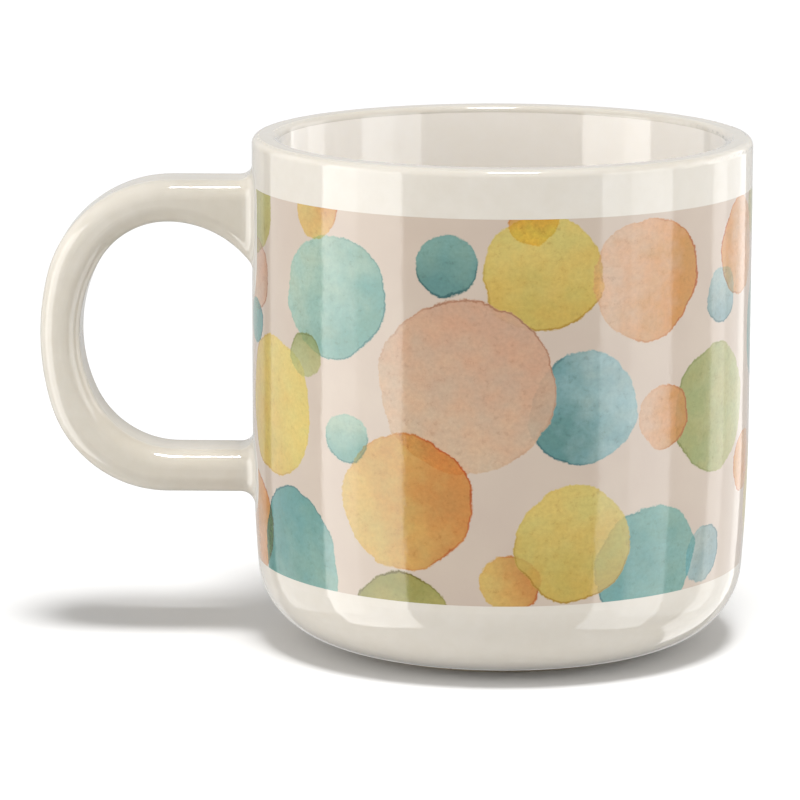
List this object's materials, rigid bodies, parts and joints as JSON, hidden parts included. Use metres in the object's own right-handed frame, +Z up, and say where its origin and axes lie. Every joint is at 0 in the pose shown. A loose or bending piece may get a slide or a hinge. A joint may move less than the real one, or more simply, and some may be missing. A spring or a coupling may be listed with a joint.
{
  "type": "mug",
  "caption": "Straight-sided glazed stoneware mug with a rounded base, a bent strap handle and a wrap-round transfer of watercolour dots.",
  "frame": {"origin": "centre of the foot ring, on the plane that the mug stands on", "axes": "+Z up along the cup's axis, and the handle points along -X"},
  "size_m": [0.1225, 0.086, 0.088],
  "materials": {
    "stoneware_clay": "matte",
    "clay_slip": "matte",
    "liner_glaze": "gloss",
    "cream_glaze": "gloss",
    "printed_transfer": "gloss"
  },
  "bodies": {
    "root": {"mug_body": "stoneware_clay", "handle": "stoneware_clay", "upper_slip_joint": "clay_slip", "lower_slip_joint": "clay_slip", "liner_glaze": "liner_glaze", "outer_glaze": "cream_glaze", "handle_glaze": "cream_glaze", "recess_glaze": "cream_glaze", "transfer_wrap": "printed_transfer"}
  },
  "joints": []
}
